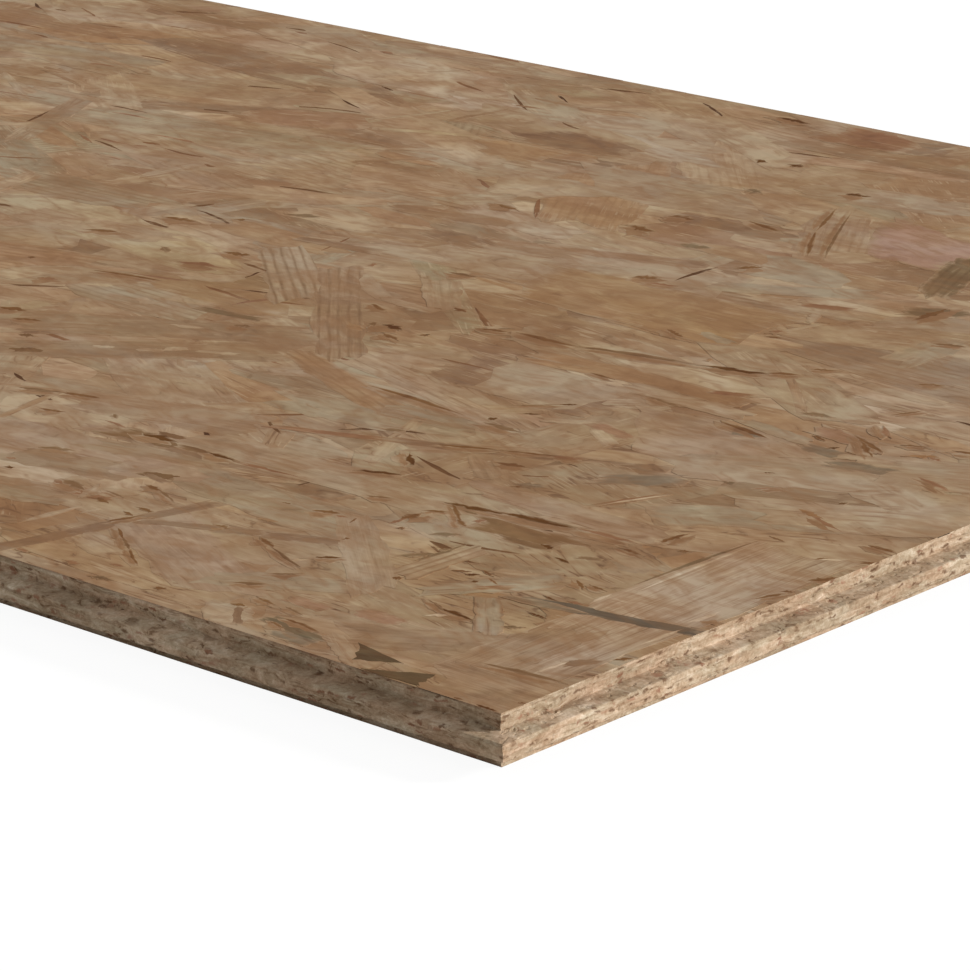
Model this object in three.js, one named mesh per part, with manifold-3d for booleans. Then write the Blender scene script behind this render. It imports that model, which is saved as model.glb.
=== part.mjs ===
// A tongue and groove panel of oriented strand board: one pressed board, with a tongue milled
// along one long side and one end, and a groove along the side and the end opposite to them.
// Millimetres, +Z up. The origin is on the underside, below the middle of the whole panel.
import * as THREE from "three";
import { mergeVertices } from "three/addons/utils/BufferGeometryUtils.js";
import Module from "manifold-3d";

// Upper face, which is what one panel covers on a floor: from each shoulder to the lip opposite.
const faceLength = 2500;
const faceWidth = 675;
const thickness = 18;

// Tongue, at half the thickness.
const tongueDepth = 8.7; // from the shoulder to the tip
const tongueRoot = 6.8; // thickness at the shoulder
const tongueTaper = 0.3; // lost from each face between the root and the tip
const tipRounding = 1.0; // on both arrises of the tip

// Groove, which takes the same tongue of the next panel.
const grooveClearance = 0.2; // between each face of the tongue and the groove
const tipClearance = 0.8; // between the tip and the bottom of the groove
const mouthChamfer = 0.6; // lead-in on the inner arris of both lips
const lipSetback = 0.5; // the lower lip is this much shorter, so that the upper faces close tight

const roundingSteps = 5; // straight facets in each rounding of the tip
const cutAllowance = 20; // what each prism runs past the ends of the other one

const strandBoard = new THREE.MeshStandardMaterial({
  name: "strand board",
  color: 0x967c63,
  roughness: 0.85,
  metalness: 0,
  flatShading: true,
});

// Cross-section from a grooved edge at -x to a tongued edge at +x, with y up through the thickness.
// face is the width of the upper face, which lies from -face / 2 to face / 2.
function crossSection(face) {
  const middle = thickness / 2;
  const shoulder = face / 2;
  const tip = shoulder + tongueDepth;
  const halfRoot = tongueRoot / 2;
  const halfTip = halfRoot - tongueTaper;

  const lip = -face / 2;
  const grooveDepth = tongueDepth + tipClearance;
  const halfMouth = halfRoot + grooveClearance;
  const halfBottom = halfMouth - (tongueTaper * grooveDepth) / tongueDepth;
  const lowerLip = lip + lipSetback;

  const section = new THREE.Shape();
  section.moveTo(lowerLip, 0);
  section.lineTo(shoulder, 0);

  // Out along the lower face of the tongue, round its tip and back along its upper face.
  section.lineTo(shoulder, middle - halfRoot);
  section.lineTo(tip - tipRounding, middle - halfTip);
  section.quadraticCurveTo(tip, middle - halfTip, tip, middle - halfTip + tipRounding);
  section.lineTo(tip, middle + halfTip - tipRounding);
  section.quadraticCurveTo(tip, middle + halfTip, tip - tipRounding, middle + halfTip);
  section.lineTo(shoulder, middle + halfRoot);

  // Over the upper face, then into the groove and out again between its two lips.
  section.lineTo(shoulder, thickness);
  section.lineTo(lip, thickness);
  section.lineTo(lip, middle + halfMouth + mouthChamfer);
  section.lineTo(lip + mouthChamfer, middle + halfMouth);
  section.lineTo(lip + grooveDepth, middle + halfBottom);
  section.lineTo(lip + grooveDepth, middle - halfBottom);
  section.lineTo(lowerLip + mouthChamfer, middle - halfMouth);
  section.lineTo(lowerLip, middle - halfMouth - mouthChamfer);
  section.closePath();
  return section;
}

// The section carried along Y, centred, with its tongue towards +X.
function prism(section, length) {
  const geometry = new THREE.ExtrudeGeometry(section, {
    depth: length,
    bevelEnabled: false,
    curveSegments: roundingSteps,
  });
  geometry.rotateX(Math.PI / 2);
  geometry.translate(0, length / 2, 0);
  return geometry;
}

const wasm = await Module();
wasm.setup();

function solidOf(geometry) {
  const bare = geometry.clone();
  bare.deleteAttribute("normal");
  bare.deleteAttribute("uv");
  const closed = mergeVertices(bare);
  return new wasm.Manifold(
    new wasm.Mesh({
      numProp: 3,
      vertProperties: new Float32Array(closed.attributes.position.array),
      triVerts: new Uint32Array(closed.index.array),
    }),
  );
}

function geometryOf(solid) {
  const mesh = solid.getMesh();
  const geometry = new THREE.BufferGeometry();
  geometry.setAttribute("position", new THREE.BufferAttribute(mesh.vertProperties, 3));
  geometry.setIndex(new THREE.BufferAttribute(mesh.triVerts, 1));
  geometry.computeVertexNormals();
  return geometry;
}

// The board is what two long cuts leave: one profile across the length and one across the width.
// Where they cross, the tongues meet in a square corner, the grooves run into each other, and
// each tongue stops at the bottom of the groove that is cut through it.
const acrossLength = prism(crossSection(faceLength), faceWidth + 2 * (tongueDepth + cutAllowance));
const acrossWidth = prism(crossSection(faceWidth), faceLength + 2 * (tongueDepth + cutAllowance));
acrossWidth.rotateZ(-Math.PI / 2); // the long side's tongue points to -Y

const panel = new THREE.Mesh(
  geometryOf(solidOf(acrossLength).intersect(solidOf(acrossWidth))),
  strandBoard,
);
panel.name = "osb_panel";
panel.position.set(-tongueDepth / 2, tongueDepth / 2, 0); // centres the outline, tongues included

const board = new THREE.Group();
board.add(panel);

export default board;
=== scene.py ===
import math
import bmesh
import bpy
import numpy as np
from mathutils import Matrix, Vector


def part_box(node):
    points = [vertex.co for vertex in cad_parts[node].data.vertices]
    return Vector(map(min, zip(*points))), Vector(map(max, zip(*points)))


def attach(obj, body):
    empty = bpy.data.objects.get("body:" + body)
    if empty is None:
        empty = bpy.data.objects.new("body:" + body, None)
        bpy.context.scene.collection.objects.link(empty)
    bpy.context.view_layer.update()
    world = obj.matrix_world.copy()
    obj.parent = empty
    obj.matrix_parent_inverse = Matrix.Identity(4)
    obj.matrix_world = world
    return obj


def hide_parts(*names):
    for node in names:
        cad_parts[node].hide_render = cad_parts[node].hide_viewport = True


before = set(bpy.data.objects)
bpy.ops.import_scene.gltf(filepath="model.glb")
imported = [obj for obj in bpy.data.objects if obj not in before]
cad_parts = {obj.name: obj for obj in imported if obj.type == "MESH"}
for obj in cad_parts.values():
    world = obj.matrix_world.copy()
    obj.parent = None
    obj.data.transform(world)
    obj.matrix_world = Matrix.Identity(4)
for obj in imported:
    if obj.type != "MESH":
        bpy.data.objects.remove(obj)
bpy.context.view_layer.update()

mm = 0.001

# The milled outline in mm: tongues stand out of two sides of the upper face, grooves lie in the other two
board = {
    "node": "osb_panel",
    "tongueDepth": 8.7,
    "tongueRoot": 6.8,
    "tongueTaper": 0.3,
    "tipRounding": 1.0,
    "grooveClearance": 0.2,
    "tipClearance": 0.8,
    "mouthChamfer": 0.6,
    "lipSetback": 0.5,
}
low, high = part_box(board["node"])
faceMin = np.array([low[0] / mm, low[1] / mm + board["tongueDepth"]])
faceMax = np.array([high[0] / mm - board["tongueDepth"], high[1] / mm])
thickness = (high[2] - low[2]) / mm
corner = np.array([faceMax[0], faceMin[1]])  # where the two tongued sides meet, on the upper face


def linear(red, green, blue):
    # a colour written as it looks on a screen, 0 to 255, as the shader's own light values
    written = (red / 255, green / 255, blue / 255)
    return tuple(((c + 0.055) / 1.055) ** 2.4 if c > 0.04 else c / 12.92 for c in written)


def latticeNoise(x, y, seed):
    # smooth noise from 0 to 1: random values on whole numbers, joined by 3t^2 - 2t^3 both ways
    column, row = np.floor(x).astype(np.int64), np.floor(y).astype(np.int64)
    s, t = x - column, y - row
    s, t = s * s * (3 - 2 * s), t * t * (3 - 2 * t)

    def value(i, j):
        mixed = (i * 73856093) ^ (j * 19349663) ^ (seed * 83492791)
        mixed = (mixed ^ (mixed >> 13)) * 1274126177
        return ((mixed ^ (mixed >> 16)) & 0xFFFF) / 65535.0

    near = value(column, row) * (1 - s) + value(column + 1, row) * s
    far = value(column, row + 1) * (1 - s) + value(column + 1, row + 1) * s
    return near * (1 - t) + far * t


def layeredNoise(x, y, seed, octaves=3):
    # each octave is twice as fine and half as strong
    total, weight = 0.0, 0.0
    for octave in range(octaves):
        total = total + latticeNoise(x * 2**octave, y * 2**octave, seed + octave) * 0.5**octave
        weight += 0.5**octave
    return total / weight


def arrayMesh(name, points, faces):
    # points in mm; faces is a list of index arrays, each holding faces with one number of corners
    mesh = bpy.data.meshes.new(name)
    mesh.vertices.add(len(points))
    mesh.vertices.foreach_set("co", (points * mm).astype(np.float32).ravel())
    loops = np.concatenate([f.ravel() for f in faces]).astype(np.int32)
    sizes = np.concatenate([np.full(len(f), f.shape[1]) for f in faces]).astype(np.int32)
    mesh.loops.add(len(loops))
    mesh.loops.foreach_set("vertex_index", loops)
    mesh.polygons.add(len(sizes))
    mesh.polygons.foreach_set("loop_start", (np.cumsum(sizes) - sizes).astype(np.int32))
    mesh.polygons.foreach_set("loop_total", sizes)
    mesh.update(calc_edges=True)
    return mesh, loops


def panelPiece(name, mesh, *materials):
    for material in materials:
        mesh.materials.append(material)
    mesh.shade_flat()
    piece = bpy.data.objects.new(name, mesh)
    bpy.context.collection.objects.link(piece)
    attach(piece, "root")
    triangles = sum(p.loop_total - 2 for p in mesh.polygons)
    print(name, "made:", triangles, "triangles")
    return piece


# Node helpers: a value may be a socket, a plain number or a colour
class Nodes:
    def __init__(self, name):
        self.material = bpy.data.materials.new(name)
        self.material.use_nodes = True
        self.tree = self.material.node_tree
        self.shader = self.tree.nodes["Principled BSDF"]

    def put(self, socket, value):
        if isinstance(value, (int, float)):
            socket.default_value = value
        elif isinstance(value, tuple):
            socket.default_value = (*value, 1.0) if len(value) < len(socket.default_value) else value
        else:
            self.tree.links.new(value, socket)

    def add(self, kind, **settings):
        made = self.tree.nodes.new(kind)
        for key, value in settings.items():
            setattr(made, key, value)
        return made

    def fill(self, made, *values, **named):
        # plain values go to a node's first inputs, named ones to the inputs of those names
        for socket, value in zip(made.inputs, values):
            self.put(socket, value)
        for key, value in named.items():
            self.put(made.inputs[key], value)
        return made.outputs[0]

    def math(self, operation, *values):
        return self.fill(self.add("ShaderNodeMath", operation=operation), *values)

    def product(self, total, *factors):
        for factor in factors:
            total = self.math("MULTIPLY", total, factor)
        return total

    def offMiddle(self, value, middle=0.5):
        return self.math("SUBTRACT", value, middle)

    def attribute(self, name, output="Fac"):
        return self.add("ShaderNodeAttribute", attribute_name=name).outputs[output]

    def axes(self, vector):
        made = self.add("ShaderNodeSeparateXYZ")
        self.fill(made, vector)
        return tuple(made.outputs)

    def joined(self, *values):
        return self.fill(self.add("ShaderNodeCombineXYZ"), *values)

    def stretched(self, vector, scale, turned=0):
        # turned by so many degrees first, then stretched
        made = self.add("ShaderNodeMapping", vector_type="TEXTURE")
        turn, size = (0, 0, math.radians(turned)), tuple(1 / s for s in scale)
        return self.fill(made, Vector=vector, Rotation=turn, Scale=size)

    def noise(self, vector, scale, detail=2.0, rough=0.5, distortion=0.0, turned=0, output="Fac"):
        # scale is one number, or one for each axis; with two axes the noise is flat
        flat = isinstance(scale, tuple) and len(scale) == 2
        if isinstance(scale, tuple):
            vector, scale = self.stretched(vector, (*scale, 1.0)[:3], turned), 1.0
        made = self.add("ShaderNodeTexNoise", noise_dimensions="2D" if flat else "3D")
        self.fill(made, Vector=vector, Scale=scale, Detail=detail, Roughness=rough, Distortion=distortion)
        return made.outputs[output]

    def pushed(self, vector, scale, reach):
        # every place moved by a noise of its own along each axis, times that axis's reach
        made = self.add("ShaderNodeVectorMath", operation="MULTIPLY_ADD")
        return self.fill(made, self.noise(vector, scale, output="Color"), reach, vector)

    def cells(self, vector, scale):
        # three random numbers for each cell, and the distance from its middle
        made = self.add("ShaderNodeTexVoronoi", feature="F1", voronoi_dimensions="3D")
        self.fill(made, Vector=self.stretched(vector, scale), Scale=1.0)
        return *self.axes(made.outputs["Color"]), made.outputs["Distance"]

    def spread(self, value, fromLow, fromHigh, toLow=0.0, toHigh=1.0):
        return self.fill(self.add("ShaderNodeMapRange", clamp=True), value, fromLow, fromHigh, toLow, toHigh)

    def swing(self, value, contrast):
        # noise about 0.5 turned into a factor about 1
        return self.math("MULTIPLY_ADD", value, 2 * contrast, 1 - contrast)

    def tint(self, factor, first, second, mode="MIX"):
        made = self.add("ShaderNodeMix", data_type="RGBA", blend_type=mode)
        for number, value in ((0, factor), (6, first), (7, second)):
            self.put(made.inputs[number], value)
        return made.outputs[2]

    def painted(self, colour, share, paint):
        return self.tint(share, colour, linear(*paint))

    def marbled(self, colour, value, limits, first, second):
        # the colour times one hue where the noise is low, and times the other where it is high
        return self.tint(1.0, colour, self.tint(self.spread(value, *limits), first, second), "MULTIPLY")

    def woodShade(self, colour, light, powers):
        # wood darkens towards brown: blue falls fastest, red slowest
        shade = self.joined(*(self.math("POWER", light, power) for power in powers))
        return self.tint(1.0, colour, shade, "MULTIPLY")

    def finish(self, look, colour, roughness, height):
        bump = self.add("ShaderNodeBump")
        self.fill(bump, Strength=look["bump"], Distance=look["bumpDepth"], Height=height)
        inputs = {"Base Color": colour, "Roughness": roughness, "Normal": bump.outputs["Normal"],
                  "Specular IOR Level": look["specular"]}
        self.fill(self.shader, **inputs)
        return self.material


# Strand wood: each strand carries its own colour, and its grain runs along its own length (UV in metres).
# Towards its outline a strand fades, in frayed streaks, into the mixed colour of the layer round it.
strandLook = {
    "groundDark": (142, 112, 81),
    "groundLight": (164, 138, 108),
    # dark colour of cracks and specks, and of the painted shade line along strand outlines
    "crackAndShadeColour": (88, 51, 23),
    "haloColour": (138, 98, 61),
    "fibreColour": (190, 165, 132),
    "golden": (1.03, 0.98, 0.9),
    "greyer": (0.985, 1.0, 1.04),
    "pinker": (1.015, 0.99, 1.0),
    "greener": (0.99, 1.005, 0.99),
    "powers": (0.75, 1.0, 1.3),
    # noises: repeats in a metre, detail, roughness and distortion
    "grains": [     # along and across the strand: wide, streak, hair, loose fibre
        ((20, 110), 2.0, 0.55, 0.6),
        ((46, 380), 2.0, 0.62, 0.6),
        ((24, 1300), 2.0, 0.65, 0.3),
        ((12, 250), 1.0, 0.6, 0.1),
    ],
    "clouds": [     # over all strands: blotch, smear, mottle, gate
        ((28, 40), 3.0, 0.6, 0.6),
        ((24, 95), 3.0, 0.6, 0.8),
        ((80, 170), 3.0, 0.6, 0.7),
        ((50, 75), 2.0, 0.6, 0.3),
    ],
    "patches": ((9, 17), 3.0, 0.6, 0.6),
    "sway": (60, 110),
    "swayReach": 0.006,
    # how strongly each of them shows
    "wide": 0.24,
    "streak": 0.15,
    "fibrous": 0.65,
    "hair": 1.1,
    "patch": 0.44,
    "blotch": 0.50,
    "mottle": 0.30,
    "brightest": 1.22,
    "ringWidth": 0.0042,
    "ringSharpness": 3.0,
    "ringBend": 0.0025,
    "fray": 1.4,
    "featherFade": -0.5,
    # limits: two values of a noise or distance, and what is made of each of them, or 0 and 1
    "crispness": (-1.48, -0.9, 1.0, 0.2),     # of y - x in metres
    "ringPatches": (0.35, 0.65, 0.3, 1.2),
    "groundMix": (0.3, 0.7),
    "goldenMix": (0.36, 0.62),
    "pinkMix": (0.38, 0.62),
    "frayMix": (0.4, 1.25, 0.0, 0.95),
    # cracks: each family's repeats, turn in degrees, and the repeats of the patches that it keeps to; the
    # first one follows the grain, the others lie near the outlines
    "crackFamilies": [((12, 110), 0, (31, 44)), ((11, 80), 10, (23, 37)), ((13, 90), -24, (39, 52))],
    "crackNoise": (2.0, 0.6, 0.2),
    "crackPatches": (2.0, 0.6, 0.3),
    "outerPart": (0.1, 0.5),
    "crackHere": (0.56, 0.63),
    "crackMottle": (0.36, 0.52),
    "crackWidth": (0.0, 0.03, 0.95, 0.0),
    "haloHere": (0.49, 0.6),
    "haloWidth": (0.01, 0.13, 0.5, 0.0),
    "gapTone": (0.05, 0.13),
    # where the painted shade line along strand outlines lies
    "shadeLineFeather": (0.7, 0.95, 0.0, 0.28),
    "shadeLineEnd": (1.0, 1.04, 1.0, 0.0),
    "shadeLineGate": (0.42, 0.5, 1.0, 0.0),
    "specks": (0.26, 0.34, 0.6, 0.0),
    "toughness": 2.5,
    "leastCracked": 0.1,
    "fibreMiddle": 0.55,
    "fibreWidth": (0.01, 0.05, 0.4, 0.0),
    "fibreGate": (0.54, 0.62),
    "roughness": 0.66,
    "specular": 0.2,
    "bump": 0.5,
    "bumpDepth": 0.00012,
}


def strandMaterial():
    n = Nodes("pressed strands")
    look = strandLook
    grain = n.add("ShaderNodeUVMap", uv_map="grain").outputs["UV"]
    place = n.add("ShaderNodeTexCoord").outputs["Object"]
    bent = n.pushed(place, look["sway"], (look["swayReach"],) * 3)
    feather, ringDepth = n.attribute("feather"), n.attribute("ringDepth")
    wide, streak, hair, loose = (n.noise(grain, *settings) for settings in look["grains"])
    blotch, smear, mottle, gate = (n.noise(bent, *settings) for settings in look["clouds"])
    patch = n.noise(place, *look["patches"])

    # the grain is crispest near the tongued corner
    x, y, _ = n.axes(place)
    crisp = n.spread(n.math("SUBTRACT", y, x), *look["crispness"])

    # rings: a sharpened sine across the strand, bent by a slow noise along it
    across = n.math("MULTIPLY_ADD", wide, look["ringBend"], n.axes(grain)[1])
    wave = n.math("SINE", n.math("MULTIPLY", across, 2 * math.pi / look["ringWidth"]))
    ring = n.math("POWER", n.math("MULTIPLY_ADD", wave, 0.5, 0.5), look["ringSharpness"])
    ring = n.product(ring, n.spread(blotch, *look["ringPatches"]), ringDepth)

    # the colour of the layer shows through, in frayed streaks, towards a strand's outline
    ground = n.spread(smear, *look["groundMix"])
    ground = n.tint(ground, linear(*look["groundDark"]), linear(*look["groundLight"]))
    frayed = feather
    for value in (streak, mottle):
        frayed = n.math("MULTIPLY_ADD", n.offMiddle(value), look["fray"], frayed)
    colour = n.tint(n.spread(frayed, *look["frayMix"]), n.attribute("tone", "Color"), ground)
    colour = n.marbled(colour, patch, look["goldenMix"], look["golden"], look["greyer"])
    colour = n.marbled(colour, blotch, look["pinkMix"], look["pinker"], look["greener"])

    # light: the grain, weaker towards the outline, then the rings, fibres on the fibrous ones, and patches
    own = n.math("MULTIPLY", n.swing(wide, look["wide"]), n.swing(streak, look["streak"]))
    fade = n.math("MULTIPLY", n.math("MULTIPLY_ADD", feather, look["featherFade"], 1.0), crisp)
    light = n.math("MULTIPLY_ADD", n.offMiddle(own, 1.0), fade, 1.0)
    light = n.math("MULTIPLY", light, n.math("SUBTRACT", 1.0, ring))
    fibrous = n.math("SUBTRACT", 1.0, n.attribute("tone", "Alpha"))
    for value, key, limit in ((streak, "fibrous", 1.0), (hair, "hair", crisp)):
        fine = n.product(n.offMiddle(value), n.math("MULTIPLY", fibrous, look[key]), limit)
        light = n.math("ADD", light, fine)
    for value, key in ((patch, "patch"), (blotch, "blotch"), (mottle, "mottle")):
        light = n.math("MULTIPLY", light, n.swing(value, look[key]))
    colour = n.woodShade(colour, n.math("MINIMUM", light, look["brightest"]), look["powers"])

    # thin red-brown cracks, in patches only: contours of noises stretched three ways, each with a soft stain
    # round it; and painted shade: a broken dark line along parts of a strand's outline, standing in for the
    # shadow line at its edge
    cracksAndShade, stain = 0.0, 0.0
    outer = n.spread(feather, *look["outerPart"])
    for number, (scale, turned, where) in enumerate(look["crackFamilies"]):
        vector, limit = (bent, outer) if number else (grain, 1.0)
        reach = n.math("ABSOLUTE", n.offMiddle(n.noise(vector, scale, *look["crackNoise"], turned)))
        here = n.noise(place, where, *look["crackPatches"])
        inside = n.product(n.spread(here, *look["crackHere"]), n.spread(mottle, *look["crackMottle"]), limit)
        cracksAndShade = n.math("MAXIMUM", cracksAndShade, n.product(n.spread(reach, *look["crackWidth"]), inside))
        halo = n.product(n.spread(reach, *look["haloWidth"]), n.spread(here, *look["haloHere"]))
        stain = n.math("MAXIMUM", stain, halo)
    # dark marks are gaps: no stain lightens them, and they stay dull
    filled = n.spread(n.attribute("tone"), *look["gapTone"])
    colour = n.painted(colour, n.math("MULTIPLY", stain, filled), look["haloColour"])
    # painted shade: a dark line in the outer part of a strand, along parts of its outline, where its edge
    # would cast a thin shadow; it takes the crack colour
    rim = [(feather, "shadeLineFeather"), (gate, "shadeLineGate"), (feather, "shadeLineEnd")]
    rim = n.product(*(n.spread(value, *look[key]) for value, key in rim))
    cracksAndShade = n.math("MAXIMUM", n.math("MAXIMUM", cracksAndShade, rim), n.spread(mottle, *look["specks"]))
    # strands with fibres or rings hold together better
    tough = n.math("MULTIPLY", n.math("MAXIMUM", fibrous, ringDepth), look["toughness"])
    weak = n.math("MAXIMUM", n.math("SUBTRACT", 1.0, tough), look["leastCracked"])
    colour = n.painted(colour, n.product(cracksAndShade, crisp, weak), look["crackAndShadeColour"])
    # pale torn fibres elsewhere
    fibre = n.spread(n.math("ABSOLUTE", n.offMiddle(loose, look["fibreMiddle"])), *look["fibreWidth"])
    fibre = n.product(fibre, weak, n.spread(gate, *look["fibreGate"]))
    colour = n.painted(colour, fibre, look["fibreColour"])
    return n.finish(look, colour, n.spread(filled, 0.0, 1.0, 1.0, look["roughness"]), streak)


# Milled wood: flat wavy cells of cut strands, dark and reddish chips among them, long pale torn fibres
milledLook = {
    "baseDark": (155, 132, 108),
    "baseLight": (177, 155, 131),
    "chipColour": (96, 66, 42),
    "redChip": (142, 96, 72),
    "streakColour": (193, 174, 150),
    "lineColour": (116, 90, 66),
    # painted shade on the edges of the tongued side away from the key lamp
    "edgeShadeColour": (100, 62, 40),
    "redder": (1.05, 0.98, 0.93),
    "greener": (0.96, 1.0, 0.98),
    "powers": (0.8, 1.0, 1.25),
    # noises: repeats in a metre along x, y and z, detail, roughness and distortion
    "broad": ((26, 26, 90), 2.0, 0.5),
    "grit": (900.0, 2.0, 0.7, 0.6),
    "clouds": [     # fibres, long fibres, lumps, cast
        ((150, 150, 1900), 3.0, 0.65, 0.3),
        ((55, 55, 1100), 3.0, 0.6, 0.4),
        ((160, 160, 380), 3.0, 0.7, 0.8),
        ((60, 60, 260), 2.0, 0.5, 0.5),
    ],
    "sway": ((34, 34, 80), 3.0, 0.6),
    "swayReach": 0.007,
    "rag": 620.0,
    "ragReach": (0.005, 0.005, 0.0018),
    "cell": (80, 80, 640),
    "chip": (230, 230, 640),
    # how strongly cells, fibres, grit, lumps and chips darken and lighten
    "contrasts": (0.12, 0.16, 0.42, 0.86, 0.12),
    # limits: two values, and what is made of each of them, or 0 and 1
    "baseMix": (0.35, 0.65),
    "castMix": (0.35, 0.65),
    "streaks": (0.58, 0.70, 0.0, 0.7),
    "lines": (0.32, 0.42, 0.5, 0.0),
    "chipSize": (0.2, 0.55, 1.0, 0.0),
    "darkChips": (0.70, 0.86, 0.0, 0.85),
    "redChips": (0.84, 0.93, 0.0, 0.65),
    "specks": (0.30, 0.38, 0.75, 0.0),
    # where that painted shade lies: heights at the lower and upper edge, the side, and its patches
    "edgeShadeLow": (0.0002, 0.0011, 1.0, 0.0),
    "edgeShadeTop": (0.0170, 0.0178),
    "edgeShadeSide": (-0.3329, -0.3325, 1.0, 0.0),
    "edgeShadeParts": (0.36, 0.5, 0.0, 0.45),
    # how high fibres, grit and streaks stand
    "relief": (0.5, 0.4, 0.4),
    "roughness": 0.8,
    "specular": 0.2,
    "bump": 0.25,
    "bumpDepth": 0.00022,
}


def milledMaterial():
    n = Nodes("milled edge")
    look = milledLook
    place = n.add("ShaderNodeTexCoord").outputs["Object"]
    x, y, z = n.axes(place)
    bent = n.joined(x, y, n.math("MULTIPLY_ADD", n.noise(place, *look["sway"]), look["swayReach"], z))
    # chips have ragged outlines, so their cells are looked up at places pushed about by a fine noise
    ragged = n.pushed(bent, look["rag"], look["ragReach"])
    cell = n.cells(ragged, look["cell"])[0]
    chipOne, chipTwo, chipThree, chipReach = n.cells(ragged, look["chip"])
    broad, grit = n.noise(place, *look["broad"]), n.noise(place, *look["grit"])
    fibres, longFibres, lumps, cast = (n.noise(bent, *settings) for settings in look["clouds"])

    colour = n.tint(n.spread(broad, *look["baseMix"]), linear(*look["baseDark"]), linear(*look["baseLight"]))
    light = n.product(*map(n.swing, (cell, fibres, grit, lumps, chipThree), look["contrasts"]))
    colour = n.woodShade(colour, light, look["powers"])
    colour = n.marbled(colour, cast, look["castMix"], look["redder"], look["greener"])
    streak = n.spread(longFibres, *look["streaks"])
    line = n.spread(longFibres, *look["lines"])
    spot = n.spread(chipReach, *look["chipSize"])
    chip = n.math("MULTIPLY", spot, n.spread(chipOne, *look["darkChips"]))
    red = n.math("MULTIPLY", spot, n.spread(chipTwo, *look["redChips"]))
    speck = n.spread(lumps, *look["specks"])
    # painted shade: the lower and upper edges of one tongued side, the side the key lamp doesn't reach, are
    # darkened to a reddish brown in places
    edgeShade = n.math("MAXIMUM", n.spread(z, *look["edgeShadeLow"]), n.spread(z, *look["edgeShadeTop"]))
    edgeShade = n.product(edgeShade, n.spread(y, *look["edgeShadeSide"]), n.spread(cast, *look["edgeShadeParts"]))
    coats = [(streak, "streakColour"), (line, "lineColour"), (chip, "chipColour"), (red, "redChip"),
             (speck, "chipColour"), (edgeShade, "edgeShadeColour")]
    for share, key in coats:
        colour = n.painted(colour, share, look[key])
    height = 0.0
    for value, rise in zip((fibres, grit, streak), look["relief"]):
        height = n.math("MULTIPLY_ADD", value, rise, height)
    height = n.math("SUBTRACT", height, n.math("MAXIMUM", chip, speck))
    return n.finish(look, colour, look["roughness"], height)


strandWood = strandMaterial()
milledWood = milledMaterial()
print("materials made")

# The pressed body under the strands, with its milled edges: a stack of rectangular rings, one closed shell.
body = {
    "topSkin": 0.24,    # the strands lie this deep in the upper face
    "underSkin": 0.12,
    "fineStep": 0.8,    # along the edges near the tongued corner
    "fineReach": 300,
    "coarseStep": 3.8,
    "cornerReach": 12,
    "ripple": 0.16,
    "rippleSize": (6.0, 0.9),    # along the edge, and up it
    "pitDepth": 0.35,
    "pitSize": (3.2, 1.2),
    "pitLimit": 0.67,            # pits are where the noise is above this, and full depth this much further
    "pitSlope": 0.14,
    "leastDepth": 0.02,
    "undersideDepth": 0.01,
    "rippleSeed": 5,
    "pitSeed": 14,
    "sideSeed": 40,              # moves the relief on from one side to the next
}


def ringProfile():
    # pairs of (offset out of the upper face, height) on tongued and on grooved sides, from the underside up;
    # a run is a straight line in so many steps, a rounded one a curve drawn by three points.
    # While one side passes its ledge, the other stays on one plane, so that no corner holds a thin fin.
    middle = thickness / 2
    halfRoot = board["tongueRoot"] / 2
    halfTip = halfRoot - board["tongueTaper"]
    depth, rounding = board["tongueDepth"], board["tipRounding"]
    inward = -(depth + board["tipClearance"])
    halfMouth = halfRoot + board["grooveClearance"]
    halfBottom = halfMouth + board["tongueTaper"] * inward / depth
    setback, chamfer = board["lipSetback"], board["mouthChamfer"]
    base, top = body["underSkin"], thickness - body["topSkin"]

    def run(start, end, count, first=False):
        t = np.linspace(0, 1, count + 1)[0 if first else 1:, None]
        return np.array(start) * (1 - t) + np.array(end) * t

    def rounded(a, b, c, count):
        t = np.linspace(0, 1, count + 1)[1:, None]
        return np.array(a) * (1 - t) ** 2 + 2 * np.array(b) * t * (1 - t) + np.array(c) * t**2

    tipLow, tipHigh = middle - halfTip, middle + halfTip
    tongue = [
        run((0, base), (0, middle - halfRoot), 8, True),
        run((0, middle - halfRoot), (depth - rounding, tipLow), 5),
        rounded((depth - rounding, tipLow), (depth, tipLow), (depth, tipLow + rounding), 3),
        run((depth, tipLow + rounding), (depth, tipHigh - rounding), 6),
        rounded((depth, tipHigh - rounding), (depth, tipHigh), (depth - rounding, tipHigh), 3),
        run((depth - rounding, tipHigh), (0, middle + halfRoot), 9),
        run((0, middle + halfRoot), (0, top), 8),
    ]
    lowMouth, highMouth = middle - halfMouth, middle + halfMouth
    groove = [
        run((-setback, base), (-setback, lowMouth - chamfer), 3, True),
        run((-setback, lowMouth - chamfer), (-setback - chamfer, lowMouth), 1),
        run((-setback - chamfer, lowMouth), (inward, middle - halfBottom), 4),
        run((inward, middle - halfBottom), (inward, middle + halfBottom), 26),
        run((inward, middle + halfBottom), (-chamfer, highMouth), 4),
        run((-chamfer, highMouth), (0, highMouth + chamfer), 1),
        run((0, highMouth + chamfer), (0, top), 3),
    ]
    return np.concatenate(tongue), np.concatenate(groove)


def sideSteps(length, fineAt):
    # places along a side from 0 to length, closer together near the tongued corner
    fine = np.arange(0, body["fineReach"], body["fineStep"]) if fineAt else np.zeros(1)
    count = int((length - fine[-1]) / body["coarseStep"])
    steps = np.concatenate([fine[:-1], np.linspace(fine[-1], length, count + 1)])
    return length - steps[::-1] if fineAt == "end" else steps


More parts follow.
